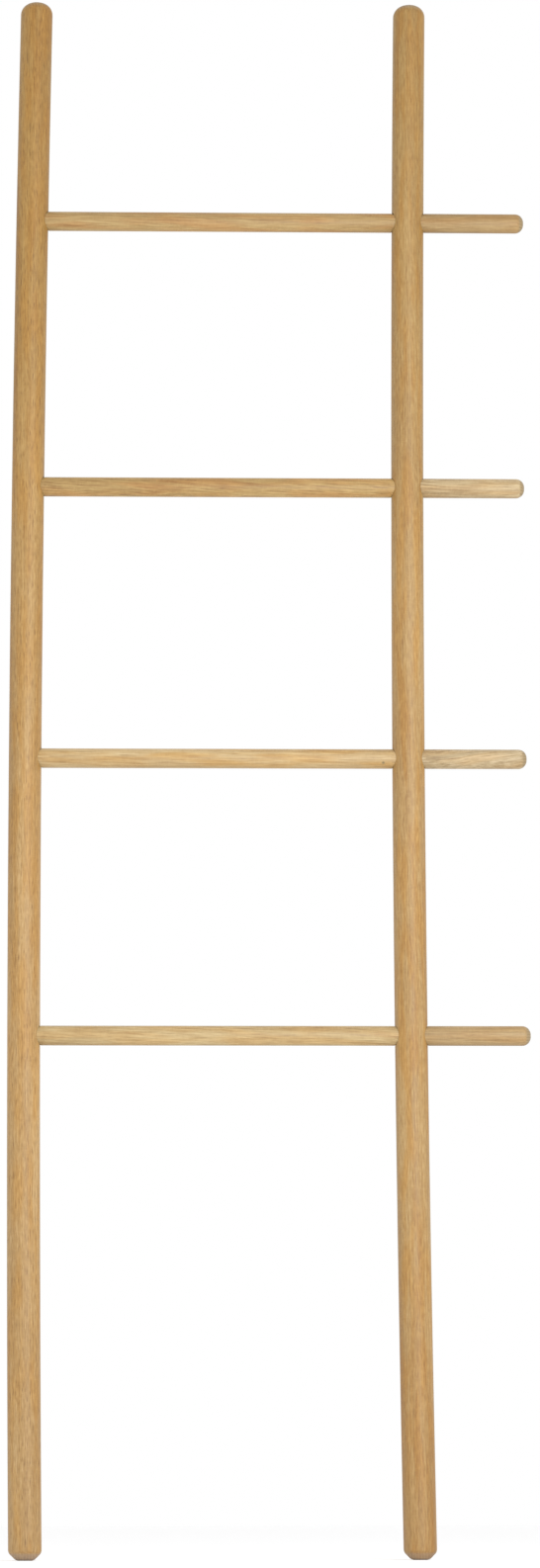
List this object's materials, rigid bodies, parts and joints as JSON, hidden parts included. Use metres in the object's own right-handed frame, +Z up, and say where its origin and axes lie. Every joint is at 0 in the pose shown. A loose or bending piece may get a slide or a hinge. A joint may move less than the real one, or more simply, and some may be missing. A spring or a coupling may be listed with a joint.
{
  "type": "decorative ladder",
  "caption": "Leaning decorative ladder of round oak stiles and rungs, with pegs on its right side, for hanging towels, blankets or clothes.",
  "frame": {"origin": "on the floor, under the middle of the whole width from the left stile to the ends of the pegs", "axes": "+X along the rungs towards the pegs, +Y to the back, towards the wall it leans on, +Z up along the stiles"},
  "size_m": [0.5612, 0.035, 1.7],
  "materials": {
    "stile_oak": "oiled oak, sanded smooth, grain along the stile",
    "rung_oak": "oiled oak, sanded smooth, grain along the rung",
    "peg_oak": "oiled oak, sanded smooth, grain along the peg",
    "zinc_steel": "zinc plated",
    "insert_brass": "plain turned"
  },
  "bodies": {
    "root": {"stile_left": "stile_oak", "stile_right": "stile_oak", "rung_top": "rung_oak", "peg_top": "peg_oak", "connecting_stud_top": "zinc_steel", "hanger_bolt_top": "zinc_steel", "rung_left_insert_top": "insert_brass", "rung_right_insert_top": "insert_brass", "peg_insert_top": "insert_brass", "rung_upper": "rung_oak", "peg_upper": "peg_oak", "connecting_stud_upper": "zinc_steel", "hanger_bolt_upper": "zinc_steel", "rung_left_insert_upper": "insert_brass", "rung_right_insert_upper": "insert_brass", "peg_insert_upper": "insert_brass", "rung_lower": "rung_oak", "peg_lower": "peg_oak", "connecting_stud_lower": "zinc_steel", "hanger_bolt_lower": "zinc_steel", "rung_left_insert_lower": "insert_brass", "rung_right_insert_lower": "insert_brass", "peg_insert_lower": "insert_brass", "rung_bottom": "rung_oak", "peg_bottom": "peg_oak", "connecting_stud_bottom": "zinc_steel", "hanger_bolt_bottom": "zinc_steel", "rung_left_insert_bottom": "insert_brass", "rung_right_insert_bottom": "insert_brass", "peg_insert_bottom": "insert_brass"}
  },
  "joints": []
}
